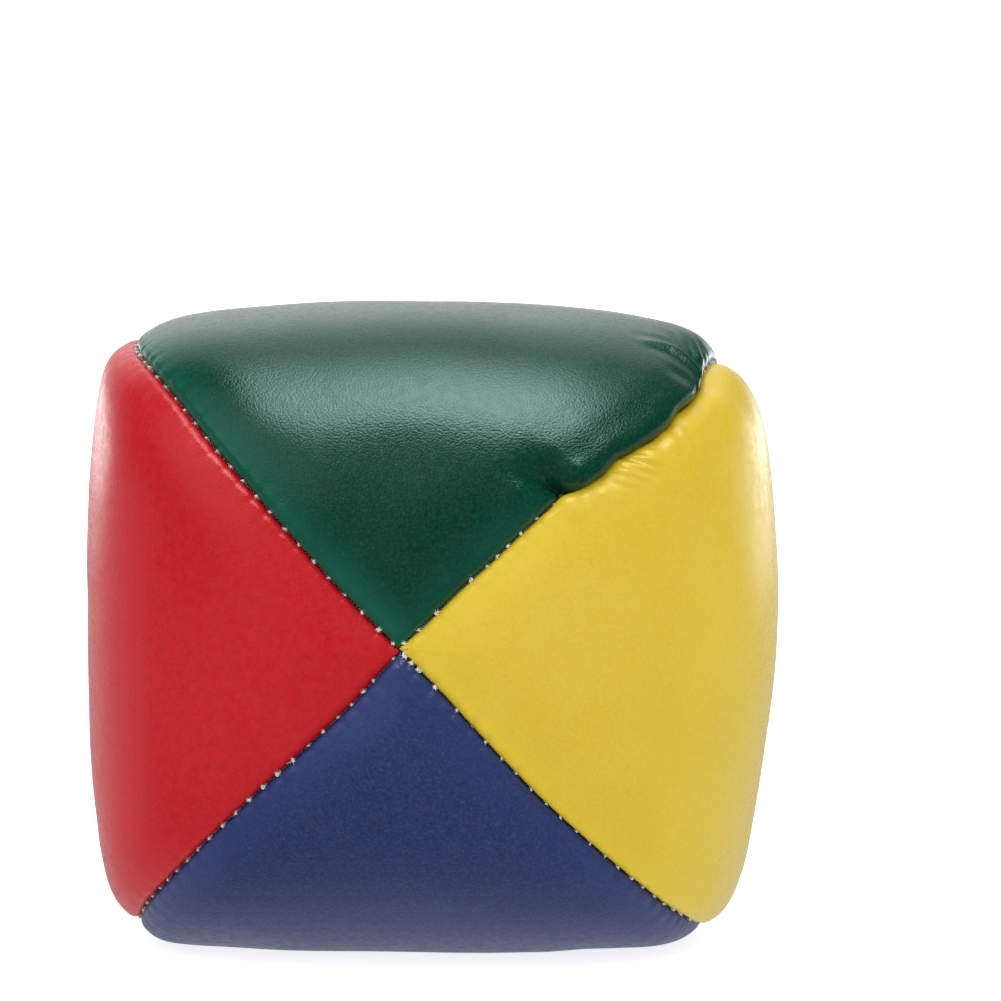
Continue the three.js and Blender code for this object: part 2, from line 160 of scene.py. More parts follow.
NS = 3000
SEAM_S = np.linspace(0.0, 1.0, NS)
SEAMS = []
for k in range(4):
    pa, na, _ = layer(k, SEAM_S, np.ones(NS))
    pb, nb, _ = layer((k + 1) % 4, SEAM_S, -np.ones(NS))
    up_even = (na + nb) / np.linalg.norm(na + nb, axis=-1, keepdims=True)
    top = finish_points((pa + pb) / 2)
    deep = slump((pa + pb) / 2 - up_even * 1.0) + SHIFT
    up = slump((pa + pb) / 2) + SHIFT - deep
    up /= np.linalg.norm(up, axis=-1, keepdims=True)
    seg = np.linalg.norm(np.diff(top, axis=0), axis=1)
    L = np.concatenate([[0], np.cumsum(seg)])
    tan = np.gradient(top, axis=0)
    tan /= np.linalg.norm(tan, axis=-1, keepdims=True)
    side = np.cross(tan, up)
    side /= np.linalg.norm(side, axis=-1, keepdims=True)     # across the seam
    # make it point from panel k into panel k+1
    mid_next = slump(layer((k + 1) % 4, 0.5, -0.9)[0]) + SHIFT
    if np.dot(mid_next - top[NS // 2], side[NS // 2]) < 0:
        side = -side
    tree = KDTree(NS)
    for i, p in enumerate(top):
        tree.insert(p, i)
    tree.balance()
    SEAMS.append(dict(p=top, up=up, even=up_even, tan=tan, side=side, L=L, total=L[-1], tree=tree))

# how far each seam wanders from the even line, mm, by distance from the front point
WANDER = [
    [(0, 0.35), (3, 0.18), (8, 0.16), (11, 0), (17, 0), (20.4, -0.16), (22.6, -0.62), (24.4, -0.86), (26.6, -0.70), (28.8, -1.16), (31.6, -1.50), (33.4, -1.42), (35.4, -0.96), (38.5, -1.02), (41.6, -0.52), (44, 0.10), (47, 0.46), (50, 0.62), (56, 0.56), (62, 0.30), (70, 0)],
    [(0, 0.02), (2.4, 0.05), (8.4, 0.22), (14, 0.07), (20, -0.03), (26.2, 0.02), (32, -0.06), (36, 0.12), (40, 0.42), (44, 0.72), (49, 0.84), (56, 0.50), (66, 0)],
    [(0, -0.06), (6.1, 0.24), (12.4, 0.09), (19.1, -0.18), (26.3, -0.22), (34.5, 0.16), (38.5, 0.40), (42, 0.78), (45.5, 1.08), (50, 1.08), (58, 0.60), (70, 0)],
    [(0, 0.03), (6.2, 0.08), (11.9, -0.07), (17.9, -0.11), (24.7, 0.1), (33.5, 0.36), (42.6, 0.45), (52, 0)],
]
CLOSING = (20.6, 45.5)                # stretch of the green/yellow seam that was closed by hand
SHOWN = [                             # stitches that stand out in the groove: (distance from the front point, size)
    [(0.8, 0.9), (2.56, 0.8), (4.75, 1.1), (8.96, 1.15), (10.9, 0.45), (12.22, 0.95), (13.52, 0.8), (15.14, 0.75), (17.2, 0.5), (19.3, 0.2)],
    [(0.95, 0.8), (2.75, 1.15), (4.87, 0.75), (7.1, 0.35), (9.2, 0.55), (11.2, 0.75), (13.3, 0.5), (15.2, 0.7), (17.4, 0.6), (19.3, 0.8), (21.4, 0.4), (23.3, 0.6), (25.4, 0.7), (27.2, 0.4), (29.3, 0.5), (31.3, 0.5), (33.2, 0.4), (35.4, 0.5), (37.5, 0.5), (39.6, 0.9), (41.0, 0.9), (43.3, 1.0), (44.8, 1.0), (46.6, 0.8)],
    [(0.9, 0.55), (3.6, 0.6), (4.9, 0.75), (6.5, 0.4), (8.2, 0.45), (10.1, 0.7), (12.0, 0.4), (14.04, 1.3), (15.9, 1.25), (17.8, 1.1), (19.7, 1.0), (21.7, 0.6), (23.6, 0.7), (25.6, 0.45), (27.5, 0.45), (29.4, 0.38), (31.4, 0.34), (33.3, 0.36), (35.2, 0.33), (37.2, 0.34), (39.2, 0.33), (41.9, 0.8), (45.2, 1.2)],
    [(0.5, 1.5), (1.4, 1.3), (2.3, 1.35), (4.37, 1.05), (7.2, 0.65), (9.2, 0.3), (11.1, 0.5), (13.2, 0.35), (15.1, 0.4), (17.2, 0.45), (19.2, 0.35), (21.1, 0.5), (23.2, 0.4), (25.1, 0.5), (27.2, 0.4), (29.1, 0.55), (31.2, 0.5), (33.1, 0.5), (35.2, 0.6), (37.2, 0.5), (39.1, 0.7), (41.0, 0.8), (44.0, 1.1)],
]
for k, S in enumerate(SEAMS):
    w = np.interp(S["L"], [a for a, _ in WANDER[k]], [b for _, b in WANDER[k]])
    ker = np.exp(-np.linspace(-2.2, 2.2, 45) ** 2)
    ker /= ker.sum()
    S["wander"] = np.convolve(np.pad(w, 22, mode="edge"), ker, mode="valid")
    # stitch holes: the ones that show, then regular ones round the back
    last = SHOWN[k][-1][0]
    rest = []
    x = last + STITCH
    while x < S["total"] - 0.9:
        rest.append((x + RNG.uniform(-0.16, 0.16), RNG.choice([0.35, 0.45, 0.55, 0.65, 0.8, 1.0], p=[.2, .22, .2, .18, .12, .08])))
        x += STITCH * RNG.uniform(0.96, 1.08)
    seq = list(SHOWN[k])
    if k == 0:                        # nothing shows along the closing; its machine stitches start again behind it
        rest = [(a, b) for a, b in ((45.5 + 1.95 * i + RNG.uniform(-0.15, 0.15), RNG.choice([0.4, 0.5, 0.65, 0.85])) for i in range(32)) if a < S["total"] - 0.9]
    filled = [seq[0]]                 # holes without a thread standing out are holes all the same
    for a in seq[1:]:
        gap = a[0] - filled[-1][0]
        if gap > 2.9:
            m = int(round(gap / STITCH))
            for j in range(1, m):
                filled.append((filled[-1][0] + gap / m, 0.0))
        filled.append(a)
    S["stitch"] = np.array(filled + rest)


def noise3(p, cell, seed):
    """smooth random field in space, about -1 to 1"""
    g = np.random.default_rng(seed)
    perm = np.concatenate([g.permutation(256)] * 3)
    val = g.uniform(-1, 1, 256)
    q = p / cell + 100.0
    i = np.floor(q).astype(int)
    f = q - i
    f = f * f * f * (f * (f * 6 - 15) + 10)
    i &= 255
    out = 0
    for a in (0, 1):
        for b in (0, 1):
            for c in (0, 1):
                w = (f[..., 0] if a else 1 - f[..., 0]) * (f[..., 1] if b else 1 - f[..., 1]) * (f[..., 2] if c else 1 - f[..., 2])
                out = out + w * val[perm[perm[perm[(i[..., 0] + a) & 255] + ((i[..., 1] + b) & 255)] + ((i[..., 2] + c) & 255)]]
    return out


def noise1(x, cell, seed):
    return noise3(np.stack([x, x * 0, x * 0], -1), cell, seed)


def bump(x, w):
    return np.exp(-((x / w) ** 2))


def near_seam(S, p, reach=16.0):
    """for points p: distance along the seam, distance from it, seam sample"""
    flat = p.reshape(-1, 3)
    idx = np.zeros(len(flat), int)
    dist = np.zeros(len(flat))
    find = S["tree"].find
    for i, q in enumerate(flat):
        _, j, d = find(q)
        idx[i], dist[i] = j, d
    return S["L"][idx].reshape(p.shape[:-1]), dist.reshape(p.shape[:-1]), idx.reshape(p.shape[:-1])


def path_dist(p, pts):
    """distance of points to a polyline, and the share of the way along it"""
    pts = np.array(pts, float)
    best = np.full(p.shape[:-1], 1e9)
    along = np.zeros(p.shape[:-1])
    seg = np.linalg.norm(np.diff(pts, axis=0), axis=1)
    cum = np.concatenate([[0], np.cumsum(seg)])
    for i in range(len(pts) - 1):
        a, b = pts[i], pts[i + 1]
        t = np.clip(((p - a) @ (b - a)) / (seg[i] ** 2), 0, 1)
        d = np.linalg.norm(p - (a + t[..., None] * (b - a)), axis=-1)
        m = d < best
        best = np.where(m, d, best)
        along = np.where(m, (cum[i] + t * seg[i]) / cum[-1], along)
    return best, along


# ------------------------------------------------------------------ panels
N_ARC, N_IN = 10, 15
ROWS = np.concatenate([
    np.linspace(0.0, 0.02, 22, endpoint=False),
    np.linspace(0.02, 1 / 3, 206, endpoint=False),
    np.linspace(1 / 3, 0.5, 92, endpoint=False),
    np.linspace(0.5, 2 / 3, 64, endpoint=False),
    np.linspace(2 / 3, 0.98, 118, endpoint=False),
    np.linspace(0.98, 1.0, 14)])
THICK = 0.90
SEAM_SHEEN_STRENGTH = [(0.5, 0.5), (1.0, 0.4), (0.5, 0.5), (0.5, 0.85)]    # how strongly each side gets the highlight painted along its seams: towards the next panel, the one before
FOLDED = {0: 1, 1: -1}                # the side of the yellow and green panels that holds the folds


def mid_columns(k):
    """where the columns of a panel run: closer along the seams, closest where the folds are"""
    f = np.linspace(-1, 1, 8001)
    edge = np.maximum(1 - np.abs(f), 0.0004)
    gap = 0.0322 * edge ** (1 / 3)
    if k in FOLDED:
        fine = 0.0070 + 0.03 * sstep((edge - 0.30) / 0.12)
        gap = np.where(np.sign(f) == FOLDED[k], np.minimum(gap, fine), gap)
    c = np.concatenate([[0], np.cumsum(0.5 * (1 / gap[1:] + 1 / gap[:-1]) * np.diff(f))])
    return np.interp(np.linspace(0, c[-1], int(round(c[-1])) + 1), c, f)


def build_panel(k):
    S_hi, S_lo = SEAMS[k], SEAMS[(k + 3) % 4]
    rows = ROWS[(ROWS > 0.0016) & (ROWS < 1 - 0.0016)]
    tt = np.linspace(0, 1, 500)
    cols = []      # (kind, value) per ring column
    for i in range(N_ARC):
        cols.append(("arc", -1, 90 * (1 - i / N_ARC)))
    for c in mid_columns(k):
        cols.append(("mid", 0, c))
    for i in range(N_ARC):
        cols.append(("arc", 1, 90 * (i + 1) / N_ARC))
    n_out = len(cols)
    for a in (112, 135, 158, 180):
        cols.append(("arc", 1, a))
    for f in (0.35, 0.7, 1.0):
        cols.append(("under", 1, f))
    cols.append(("cut", 1, 1.0))
    for f in (0.6, 0.25):
        cols.append(("back", 1, f))
    cols.append(("fold", 1, 0))
    for c in np.linspace(1, -1, N_IN):
        cols.append(("skin", 0, c))
    cols.append(("fold", -1, 0))
    for f in (0.25, 0.6):
        cols.append(("back", -1, f))
    cols.append(("cut", -1, 1.0))
    for f in (1.0, 0.7, 0.35):
        cols.append(("under", -1, f))
    for a in (180, 158, 135, 112):
        cols.append(("arc", -1, a))
    nc, nr = len(cols), len(rows)
    T = np.zeros((nr, nc))
    H = np.zeros((nr, nc))
    for r, s in enumerate(rows):
        e, _ = envelope(direction(k, s, tt))
        g = seam_dist(k, e)
        gc = g[0]
        R = min(ROLL, max(gc - GAP, 0.004) * 0.97)
        q = R / ROLL
        sink = (ROLL - R) * 0.62
        full = gc - GAP - R
        allow = GAP + R + min(3.2, 0.5 * max(full, 0))

        def t_of(G):
            return float(np.interp(-G, -g, tt))
        te = t_of(GAP + R)
        ti = t_of(min(GAP + 0.86 * R + 0.0, gc * 0.98))
        for j, (kind, sd, val) in enumerate(cols):
            if kind == "arc":
                th = math.radians(val)
                T[r, j] = sd * t_of(GAP + R * (1 - math.sin(th)))
                H[r, j] = sink + R * (1 - math.cos(th))
            elif kind == "mid":
                T[r, j] = te * val
                H[r, j] = sink
            elif kind == "under":
                T[r, j] = sd * t_of(GAP + R + val * (allow - GAP - R))
                H[r, j] = sink + 2 * R
            elif kind == "cut":
                T[r, j] = sd * t_of(allow)
                H[r, j] = sink + 2 * R - 0.87 * q
            elif kind == "back":
                T[r, j] = sd * t_of(GAP + R + val * (allow - GAP - R))
                H[r, j] = sink + 2 * R - 0.87 * q
            elif kind == "fold":
                T[r, j] = sd * ti
                H[r, j] = sink + (THICK + 0.03) * q
            else:
                T[r, j] = ti * 0.985 * val
                H[r, j] = sink + THICK * q
    Sg = np.repeat(rows[:, None], nc, 1)
    base, n, G = layer(k, Sg, T)
    up = []
    for seam, other, sg in ((k, (k + 1) % 4, 1), ((k + 3) % 4, (k + 3) % 4, -1)):
        _, na, _ = layer(k, rows, np.full(nr, float(sg)))
        _, nb, _ = layer(other, rows, np.full(nr, float(-sg)))
        u = na + nb
        up.append(u / np.linalg.norm(u, axis=-1, keepdims=True))
    side_pos = T > 0
    across = sstep((T + 0.45) / 0.9)[..., None]
    U = up[0][:, None, :] * across + up[1][:, None, :] * (1 - across)
    w = sstep((G - (GAP + ROLL)) / 2.6)[..., None]
    dirn = U * (1 - w) + n * w
    dirn /= np.linalg.norm(dirn, axis=-1, keepdims=True)
    P0 = finish_points(base)
    P = finish_points(base - dirn * H[..., None], H)

    out_cols = np.arange(nc) < n_out
    # seam coordinates of every point, to both seams, from the outer surface above it
    own = np.where(side_pos, 1, -1)
    inner = G > 17
    coords = {}
    for sd, S in ((1, S_hi), (-1, S_lo)):
        l = np.zeros((nr, nc))
        d = np.full((nr, nc), 99.0)
        up_v = np.zeros((nr, nc, 3))
        side_v = np.zeros((nr, nc, 3))
        m = ~inner
        L_, D_, I_ = near_seam(S, P0[m])
        l[m], d[m] = L_, D_
        up_v[m], side_v[m] = S["up"][I_], S["side"][I_] * (-sd)     # side_v points into this panel
        coords[sd] = (l, d, up_v, side_v)
    disp = shape_detail(k, P0, dirn, coords, G, own, S_hi, S_lo, inner, out_cols)
    P = P + disp
    P[..., 2] = np.maximum(P[..., 2], 0.012 + 0.9 * np.minimum(H, 1.9) * (P0[..., 2] < 0.6))

    verts = P.reshape(-1, 3)
    a = np.arange(nr - 1)[:, None] * nc + np.arange(nc)[None, :]
    b = np.arange(nr - 1)[:, None] * nc + (np.arange(nc)[None, :] + 1) % nc
    quads = np.stack([a, b, b + nc, a + nc], -1).reshape(-1, 4)
    tip0, tip1 = P[0].mean(0), P[-1].mean(0)
    verts = np.vstack([verts, tip0, tip1])
    i0, i1 = nr * nc, nr * nc + 1
    ring = np.arange(nc)
    t0 = np.stack([np.full(nc, i0), (ring + 1) % nc, ring], -1)
    t1 = np.stack([np.full(nc, i1), (nr - 1) * nc + ring, (nr - 1) * nc + (ring + 1) % nc], -1)
    # weights for the highlight painted along the seams, kept on the mesh for the material
    near = np.zeros((nr, nc))
    for sd, weight in zip((1, -1), SEAM_SHEEN_STRENGTH[k]):
        l, d = coords[sd][:2]
        if k in (0, 1) and sd == (1 if k == 0 else -1):
            weight = weight * (1 - sstep((l - 17) / 4) * sstep((50 - l) / 5))    # less highlight painted along the stretch that was closed by hand
        near = np.maximum(near, weight * np.exp(-((d / 2.8) ** 2)))
    near = near.ravel()
    return verts, quads, np.vstack([t0, t1]), np.concatenate([near, [1.0, 1.0]])


DRAWN_W = 4.0
NIP, NIP_W = 0.20, 2.1                # close to the seam the skin turns down more steeply


def drawn_in(l, ks):
    return np.interp(l, [0, 6, 24, 36, 52, 62, 80, 104, 110], [0.34, 0.40, 0.42, 0.38, 0.30, 0.30, 0.34, 0.40, 0.34])


NOTCH = [0.50, 0.16, 0.25, 0.35]
FULL = [(0.10, 0.55), (0.40, 0.40), (1.25, 1.35), (0.45, 0.70)]     # per seam: panel before it, panel after it


def corner_notch(l, ks):
    return NOTCH[ks] * (bump(l - 48, 10) + 0.6 * bump(l - 62, 9))


def corner_full(l, ks, sd):
    a = FULL[ks][0 if sd == 1 else 1]
    return a * bump(l - 50, 15)


TRIM = [(0, 0), (12, .08), (36, .14), (42, .22), (48, .10), (54, .08), (60, .18), (66, .13), (78, 0), (90, 0), (102, .14), (109, .22), (117, .08),
        (126, -.08), (133, .14), (144, 0), (156, .14), (168, 0), (174, -.14), (186, -.05), (198, -.03), (204, -.22), (210, -.54), (215, -.46), (219, .10),
        (223, .52), (227, .44), (232, .12), (238, .05), (246, .14), (258, .16), (282, .14), (292, 0), (298, -.36), (303, -.42), (308, -.05), (312, .34), (315, -.02), (320, -.36),
        (326, -.26), (334, -.12), (344, 0), (360, 0)]    # the filled corners of this ball: angle round the front-to-back axis, mm outward
_a = np.arange(0, 360, 0.5)
_t = np.interp(_a, [a for a, _ in TRIM], [b for _, b in TRIM])
_g = np.exp(-np.linspace(-2.5, 2.5, 13) ** 2)
TRIM_V = np.convolve(np.concatenate([_t[-6:], _t, _t[:6]]), _g / _g.sum(), mode="valid")


def trim(p):
    v = p - np.array([0.0, 0.0, 29.3])
    a = np.degrees(np.arctan2(v[..., 2], v[..., 0])) % 360
    full = 0.85 * bump(a - 42, 19) * bump(p[..., 1] + 6, 7)          # the closed corner turns over sharply
    return full + np.interp(a, _a, TRIM_V, period=360) * sstep((p[..., 1] + 22) / 14) * (1 - sstep((p[..., 1] - 6) / 16))


def outward(p):
    """away from the ball's middle axis"""
    v = p - np.array([0.0, 0.0, 29.3])
    v = v * np.array([1.0, 0.0, 1.0])
    return v / (np.linalg.norm(v, axis=-1, keepdims=True) + 1e-9)


def shape_detail(k, P0, N, coords, G, own, S_hi, S_lo, inner, out_cols):
    """everything that makes the sewn leather differ from the even shape: displacement in mm"""
    shp = G.shape
    D = np.zeros(shp + (3,))
    m = ~inner
    for sd, S in ((1, S_hi), (-1, S_lo)):
        l, d, up_v, side_v = [c[m] for c in coords[sd]]
        ks = k if sd == 1 else (k + 3) % 4
        # the seam lines wander, and the skin goes with them
        w = np.interp(l, S["L"], S["wander"])
        D[m] += side_v * (-sd) * (w * bump(d, 5.0))[..., None]
        # the skin is drawn in along the seams, and full on both sides of each corner
        tip = 0.5 + 0.5 * sstep(np.minimum(l, S["total"] - l) / 5.0)    # the two valleys meet at the points
        D[m] -= N[m] * ((drawn_in(l, ks) * bump(d, DRAWN_W) + NIP * bump(d, NIP_W)) * tip)[..., None]
        D[m] -= N[m] * (corner_notch(l, ks) * bump(d, 1.5))[..., None]
        D[m] += outward(P0[m]) * (corner_full(l, ks, sd) * bump(d, 6.2))[..., None]
    D += outward(P0) * trim(P0)[..., None]
    # the skin is not quite even over the granules
    D += N * (0.10 * noise3(P0, 11.0, 21 + k) + 0.025 * noise3(P0, 5.0, 31 + k) * sstep((G - 1.0) / 3))[..., None]
    # stitches pull the edges down and apart; the edge swells between them
    for sd, S in ((1, S_hi), (-1, S_lo)):
        l, d, up_v, side_v = coords[sd]
        m = (own == sd) & ~inner & (d < 4.5)
        if not m.any():
            continue
        ll, dd = l[m], d[m]
        st = S["stitch"]
        j = np.clip(np.searchsorted(st[:, 0], ll), 1, len(st) - 1)
        near = np.where(np.abs(st[j - 1, 0] - ll) < np.abs(st[j, 0] - ll), j - 1, j)
        x = ll - st[near, 0]
        strong = 0.35 + 0.60 * st[near, 1]
        notch = bump(x, 0.27) * strong
        oc = np.broadcast_to(out_cols, shp)[m]
        tipf = sstep(G[m] / 0.5)
        down = (-0.125 * notch * bump(dd, 0.75) - 0.03 * bump(x, 0.5) * bump(dd, 1.8) + 0.03 * (1 - bump(x, 0.6)) * bump(dd, 1.2)) * (0.3 + 0.7 * tipf) * (0.7 if k == 2 else 1.0)
        D[m] += np.where(oc, down, 0)[..., None] * up_v[m]
        apart = 0.055 * notch * bump(dd, 0.55)
        D[m] += np.where(oc, apart, 0)[..., None] * side_v[m]
        # the edge line itself is a little ragged
        torn = (0.035 if k == 0 and sd == -1 else 0.0) * bump(ll - 37, 11)
        rag = 0.035 * noise1(ll, 0.8, 51 + k * 2 + sd) + torn * noise1(ll, 0.36, 57)
        D[m] += np.where(oc, 1.3 * torn * noise1(ll, 0.36, 58) * bump(dd, 0.7), 0)[..., None] * side_v[m]
        D[m] += (rag * bump(dd, 0.9))[..., None] * up_v[m]
        # short puckers that run in from the stitches
        puck = noise1(ll, 0.95, 61 + k * 2 + sd) * np.maximum(0.15 + 0.85 * noise1(ll, 5.0, 71 + k * 2 + sd), 0)
        puck = puck * (1 - 0.5 * bump(dd - 3.0, 2.0)) + 0.5 * noise3(P0[m], 1.3, 81 + k)
        more = 1 - 0.35 * bump(ll - 44, 8)
        D[m] += (0.026 * more * puck * bump(dd - 0.9, 1.4) * sstep(dd / 0.9))[..., None] * N[m]
    D += local_detail(k, P0, N, coords)
    return D


def fold(P0, N, pts, height, width, ends=(0.25, 0.25), side_groove=0.0):
    """a ridge (or, with a negative height, a crease) along a path, fading at both ends"""
    out = np.zeros(P0.shape)
    c = np.mean(np.array(pts), axis=0)
    reach = max(np.linalg.norm(np.array(p) - c) for p in pts) + 4 * width
    m = np.linalg.norm(P0 - c, axis=-1) < reach
    if not m.any():
        return out
    dist, along = path_dist(P0[m], pts)
    fade = sstep(along / max(ends[0], 1e-3)) * sstep((1 - along) / max(ends[1], 1e-3))
    if ends[1] == 0:
        fade = sstep(along / max(ends[0], 1e-3))
    shape = bump(dist, width) - side_groove * bump(dist - 2.0 * width, width)
    out[m] = N[m] * (height * shape * fade)[..., None]
    return out


def local_detail(k, P0, N, coords):
    """what only this ball has: the hand-closed stretch and the folds round it"""
    D = np.zeros(P0.shape)
    if k == 1:
        l, d, up_v, side_v = coords[-1]                  # green, along its seam with yellow
        win = sstep((l - 20.5) / 2.5) * sstep((46.0 - l) / 9.0)
        # full, rounded lip that stands over the yellow edge
        D += up_v * (win * (0.62 * bump(d - 0.6, 1.5) + 0.30 * bump(d - 2.6, 2.2)))[..., None]
        D -= side_v * (win * 0.30 * bump(d, 1.3))[..., None]
        # pinch: the lip is caught by the first hand stitch
        D += fold(P0, N, [(11.6, -26.5, 45.4), (12.6, -26.4, 44.9), (13.7, -26.3, 44.2), (14.7, -26.3, 43.5), (15.6, -26.2, 42.9)], -1.15, 0.42, (0.6, 0))
        D += fold(P0, N, [(11.0, -26.6, 45.2), (13.0, -26.4, 44.5), (15.2, -26.3, 43.4)], -0.70, 1.5, (0.5, 0.15))
        D += fold(P0, N, [(12.9, -26.2, 46.1), (14.6, -25.9, 45.7), (16.4, -25.3, 45.4)], 0.18, 1.1, (0.45, 0.35))
        D += fold(P0, N, [(12.0, -26.7, 44.6), (11.2, -26.9, 43.2), (10.4, -27.2, 41.6), (9.4, -27.4, 40.2)], 0.42, 2.1, (0.35, 0.45))
        # two soft folds at the far end of the closing, running into the corner
        D += fold(P0, N, [(21.0, -2.4, 57.8), (22.2, -4.4, 57.1), (23.2, -6.2, 56.3), (24.0, -7.6, 55.7), (24.8, -8.9, 55.0), (25.5, -10.2, 54.0)], 0.34, 0.62, (0.70, 0.10), 0.3)
        D += fold(P0, N, [(19.0, -13.0, 56.9), (21.0, -12.0, 56.2), (22.2, -11.7, 55.7), (23.3, -11.8, 55.0), (24.3, -12.1, 54.2), (25.2, -12.6, 53.3)], 0.36, 0.58, (0.60, 0.08), 0.4)
        D += fold(P0, N, [(21.0, -8.0, 57.3), (22.6, -8.9, 56.3), (23.8, -10.0, 55.3), (24.9, -11.4, 54.1)], -0.20, 0.80, (0.60, 0.10))
        D += fold(P0, N, [(21.8, -15.6, 55.2), (23.4, -15.0, 54.0), (24.8, -14.2, 52.9)], -0.30, 0.70, (0.6, 0.05))
    if k == 0:
        l, d, up_v, side_v = coords[1]                   # yellow, along its seam with green
        win = sstep((l - 20.5) / 2.5) * sstep((45.0 - l) / 9.0)
        D -= up_v * (win * 0.55 * bump(d, 1.35))[..., None]
        # puffed between the hand stitches
        puff = (0.5 - 0.5 * np.cos((l - 24.6) * 2 * math.pi / 3.0)) * sstep((l - 16.8) / 2.0) * sstep((40.0 - l) / 9.0)
        D += N * (0.24 * puff * bump(d - 1.6, 1.1))[..., None]
        D -= side_v * (0.16 * puff * bump(d, 0.9))[..., None]
        # crinkles that run away from the closing
        ph = (l - 0.55 * d) * 2 * math.pi / 1.15 + 1.3 * noise1(l, 1.7, 91)
        cr = bump(l - 27.6, 2.6) * bump(d - 2.0, 1.8)
        D += N * (cr * 0.105 * np.cos(ph))[..., None]
        ph2 = (l + 0.3 * d) * 2 * math.pi / 2.3 + 1.6 * noise1(l, 2.5, 92)
        cr2 = bump(l - 34, 5.0) * bump(d - 2.6, 2.4)
        D += N * (cr2 * 0.085 * np.cos(ph2))[..., None]
        # pull across the corner
        D += fold(P0, N, [(25.3, -14.6, 52.2), (26.6, -13.2, 51.6), (27.9, -11.6, 50.5), (29.2, -9.8, 48.7), (30.0, -8.4, 46.6)], 0.26, 1.5, (0.15, 0.60), 0.2)
        D += fold(P0, N, [(25.8, -15.4, 50.6), (26.8, -14.6, 48.8), (27.4, -14.2, 46.6)], -0.15, 1.8, (0.3, 0.5))
        D += fold(P0, N, [(26.2, -10.0, 53.0), (27.0, -7.6, 52.6), (28.0, -5.0, 51.6)], 0.08, 1.2, (0.2, 0.5), 0.2)
    return D


def make_mesh(name, verts, quads, tris=None, seam_sheen_weight=None, smooth=True):
    me = bpy.data.meshes.new(name)
    parts = [quads.ravel()]
    starts = [np.arange(len(quads)) * 4]
    if tris is not None and len(tris):
        parts.append(tris.ravel())
        starts.append(len(quads) * 4 + np.arange(len(tris)) * 3)
    loops, starts = np.concatenate(parts), np.concatenate(starts)
    me.vertices.add(len(verts))
    me.vertices.foreach_set("co", (np.asarray(verts) * 0.001).astype(np.float32).ravel())
    me.loops.add(len(loops))
    me.loops.foreach_set("vertex_index", loops.astype(np.int32))
    me.polygons.add(len(starts))
    me.polygons.foreach_set("loop_start", starts.astype(np.int32))
    me.polygons.foreach_set("use_smooth", np.full(len(starts), smooth))
    me.update(calc_edges=True)
    # per-vertex weight of the highlight painted along the seams
    if seam_sheen_weight is not None:
        me.attributes.new("seam_sheen_weight", "FLOAT", "POINT").data.foreach_set("value", seam_sheen_weight.astype(np.float32))
    me.validate()
    ob = bpy.data.objects.new(name, me)
    bpy.context.scene.collection.objects.link(ob)
    return ob


# ------------------------------------------------------------------ threads
def tube(path, radius, sides=8, twist=0.0, flat=1.0):
    """closed tube of changing radius along points (mm)"""
    path = np.asarray(path, float)
    n = len(path)
    radius = np.broadcast_to(np.asarray(radius, float), (n,))
    tan = np.gradient(path, axis=0)
    tan /= np.linalg.norm(tan, axis=-1, keepdims=True) + 1e-12
    ref = np.array([0.0, 0.0, 1.0]) if abs(tan[0][2]) < 0.9 else np.array([1.0, 0.0, 0.0])
    u = np.cross(tan[0], ref)
    u /= np.linalg.norm(u)
    us = [u]
    for i in range(1, n):
        u = us[-1] - tan[i] * np.dot(us[-1], tan[i])
        us.append(u / (np.linalg.norm(u) + 1e-12))
    us = np.array(us)
    vs = np.cross(tan, us)
    a = np.arange(sides) / sides * 2 * math.pi
    ring = us[:, None, :] * np.cos(a)[None, :, None] + flat * vs[:, None, :] * np.sin(a)[None, :, None]
    v = path[:, None, :] + ring * radius[:, None, None]
    verts = np.vstack([v.reshape(-1, 3), path[0] - tan[0] * radius[0] * 0.6, path[-1] + tan[-1] * radius[-1] * 0.6])
    i = np.arange(n - 1)[:, None] * sides
    j = np.arange(sides)[None, :]
    j2 = (j + 1) % sides
    quads = np.stack([i + j, i + j2, i + sides + j2, i + sides + j], -1).reshape(-1, 4)
    c0, c1 = n * sides, n * sides + 1
    r = np.arange(sides)
    t0 = np.stack([np.full(sides, c0), (r + 1) % sides, r], -1)
    t1 = np.stack([np.full(sides, c1), (n - 1) * sides + r, (n - 1) * sides + (r + 1) % sides], -1)
    return verts, quads, np.vstack([t0, t1])


def join(parts):
    vs, qs, ts, o = [], [], [], 0
    for v, q, t in parts:
        vs.append(v)
        qs.append(q + o)
        ts.append(t + o)
        o += len(v)
    return np.vstack(vs), np.vstack(qs), np.vstack(ts)


def seam_frame(k, l):
    S = SEAMS[k]
    l = np.asarray(l, float)
    f = np.stack([np.interp(l, S["L"], S["p"][:, i]) for i in range(3)], -1)
    up = np.stack([np.interp(l, S["L"], S["up"][:, i]) for i in range(3)], -1)
    sd = np.stack([np.interp(l, S["L"], S["side"][:, i]) for i in range(3)], -1)
    tn = np.stack([np.interp(l, S["L"], S["tan"][:, i]) for i in range(3)], -1)
    w = np.interp(l, S["L"], S["wander"])
    full = (corner_full(l, k, 1) + corner_full(l, k, -1)) / 2 + trim(f)
    return f + sd * w[..., None] - up * (drawn_in(l, k) + NIP + corner_notch(l, k))[..., None] + outward(f) * full[..., None], up, sd, tn


